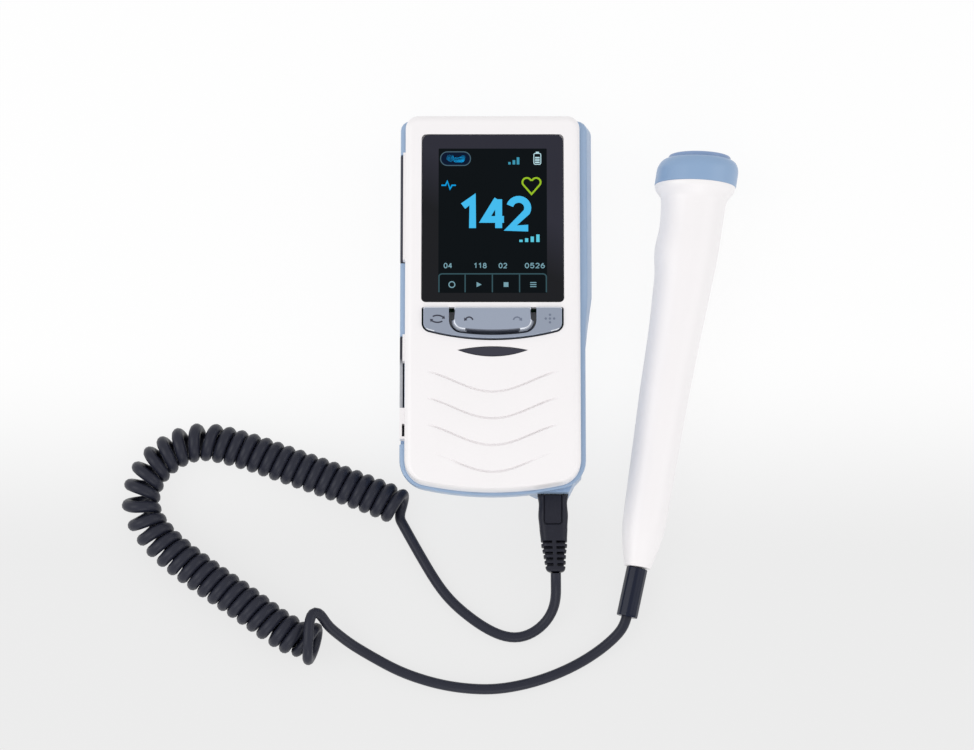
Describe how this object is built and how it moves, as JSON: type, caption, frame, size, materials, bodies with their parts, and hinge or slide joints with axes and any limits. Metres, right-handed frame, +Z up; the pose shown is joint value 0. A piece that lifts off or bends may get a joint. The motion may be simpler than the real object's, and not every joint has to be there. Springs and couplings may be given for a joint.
{
  "type": "fetal doppler monitor",
  "caption": "Hand-held fetal doppler monitor with a screen, tilting keys, a sliding battery door and a pencil probe on a curly cord.",
  "frame": {"origin": "centre of the underside of the box round the monitor and the probe, cord left out", "axes": "+X across from the monitor to the probe, +Y along the monitor towards its screen end, +Z up out of its face"},
  "size_m": [0.2097, 0.1941, 0.0311],
  "materials": {
    "white_plastic": "satin moulded white",
    "blue_plastic": "satin moulded blue",
    "smoked_window": "polished, smoked",
    "display_black": "screen",
    "silver_key": "metallic paint",
    "dark_rubber": "soft cover",
    "cord_rubber": "soft cord jacket",
    "board_green": "solder mask",
    "silicone": "moulded silicone",
    "steel": "plated",
    "cell_wrap": "shrink wrap",
    "black_plastic": "moulded black",
    "ceramic": "fired ceramic",
    "lamp_resin": "clear green resin"
  },
  "bodies": {
    "monitor": {"front_cover": "white_plastic", "rear_cover": "blue_plastic", "display_window": "smoked_window", "display_module": "display_black", "main_board": "board_green", "key_mat": "silicone", "indicator_lens": "smoked_window", "status_lamp": "lamp_resin", "loudspeaker": "black_plastic", "battery_pack": "cell_wrap", "case_screw_1": "steel", "case_screw_2": "steel", "case_screw_3": "steel", "case_screw_4": "steel", "probe_socket": "black_plastic", "side_strip": "dark_rubber", "charging_socket": "steel", "earphone_jack": "black_plastic", "line_out_jack": "black_plastic"},
    "mode_power_key": {"mode_power_key": "silver_key"},
    "volume_key": {"volume_key": "silver_key"},
    "battery_door": {"battery_door": "blue_plastic"},
    "port_cover": {"port_cover": "dark_rubber"},
    "cable": {"plug_body": "cord_rubber", "plug_shell": "steel", "lead_cord": "cord_rubber", "curly_cord": "cord_rubber", "tail_cord": "cord_rubber"},
    "probe": {"probe_handle_upper": "white_plastic", "probe_handle_lower": "white_plastic", "probe_head_ring": "blue_plastic", "acoustic_face": "blue_plastic", "crystal_transmit": "ceramic", "crystal_receive": "ceramic", "crystal_backing": "silicone", "probe_board": "board_green", "probe_relief": "cord_rubber"}
  },
  "joints": [
    {"name": "mode_power_key_tilt", "type": "hinge", "parent": "monitor", "child": "mode_power_key", "pos_m": [-0.0266, 0.01186, 0.026], "axis": [0, 1, 0], "range_deg": [-1.8, 1.8], "stiffness_Nm_per_rad": 0.6},
    {"name": "volume_key_tilt", "type": "hinge", "parent": "monitor", "child": "volume_key", "pos_m": [-0.0266, 0.01186, 0.026], "axis": [0, 1, 0], "range_deg": [-3, 3], "stiffness_Nm_per_rad": 0.18},
    {"name": "door_slide", "type": "slide", "parent": "monitor", "child": "battery_door", "axis": [0, -1, 0], "range_m": [0, 0.01]},
    {"name": "port_cover_hinge", "type": "hinge", "parent": "monitor", "child": "port_cover", "pos_m": [-0.0573, -0.00429, 0.0071], "axis": [0, -1, 0], "range_deg": [0, 95]},
    {"name": "plug_pull", "type": "slide", "parent": "monitor", "child": "cable", "axis": [0, -1, 0], "range_m": [0, 0.009]},
    {"name": "probe_lift", "type": "slide", "parent": "cable", "child": "probe", "axis": [0, 0, 1], "range_m": [0, 0.06]}
  ]
}
